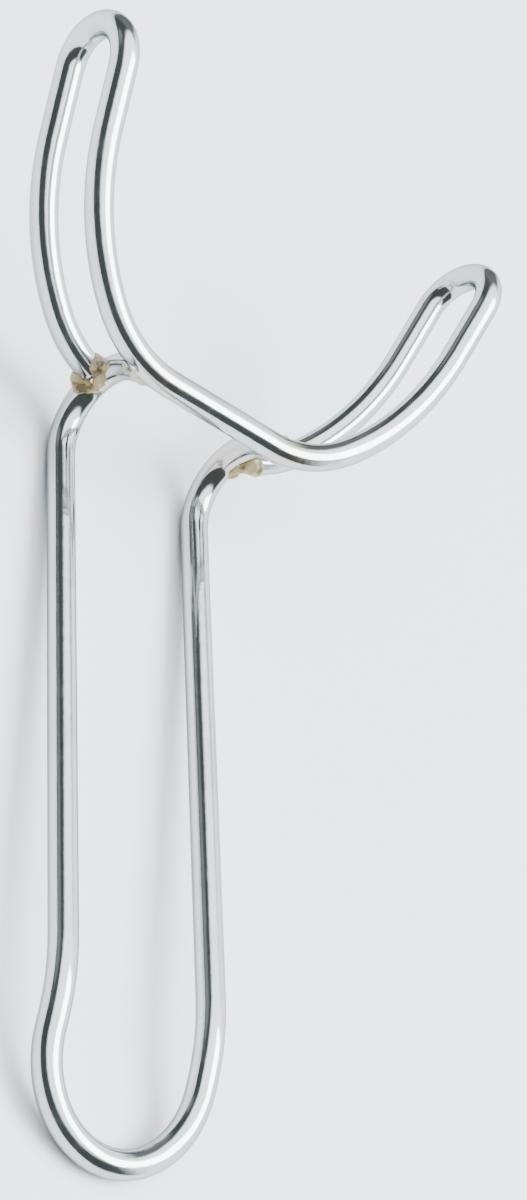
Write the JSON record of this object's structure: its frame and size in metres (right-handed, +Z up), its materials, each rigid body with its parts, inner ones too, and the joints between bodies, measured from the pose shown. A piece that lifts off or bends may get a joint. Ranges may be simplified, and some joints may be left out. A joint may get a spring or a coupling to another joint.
{
  "type": "wire test tube holder",
  "caption": "Rigid wire holder: a U-shaped cradle of paired rails brazed to the turned-up feet of a long loop handle, in bright plated steel wire.",
  "frame": {"origin": "bottom centre of the tool's box, on the surface that it lies on", "axes": "+X across the handle, +Y along the handle towards the ears, +Z up from the surface, the side that the cradle stands on"},
  "size_m": [0.0796, 0.1475, 0.0405],
  "materials": {
    "plated_wire": "bright nickel-chrome plate on drawn steel wire",
    "braze": "rough cast brazing filler, matt"
  },
  "bodies": {
    "root": {"handle_wire": "plated_wire", "cradle_wire": "plated_wire", "braze_back_left": "braze", "braze_back_right": "braze", "braze_front_left": "braze", "braze_front_right": "braze"}
  },
  "joints": []
}
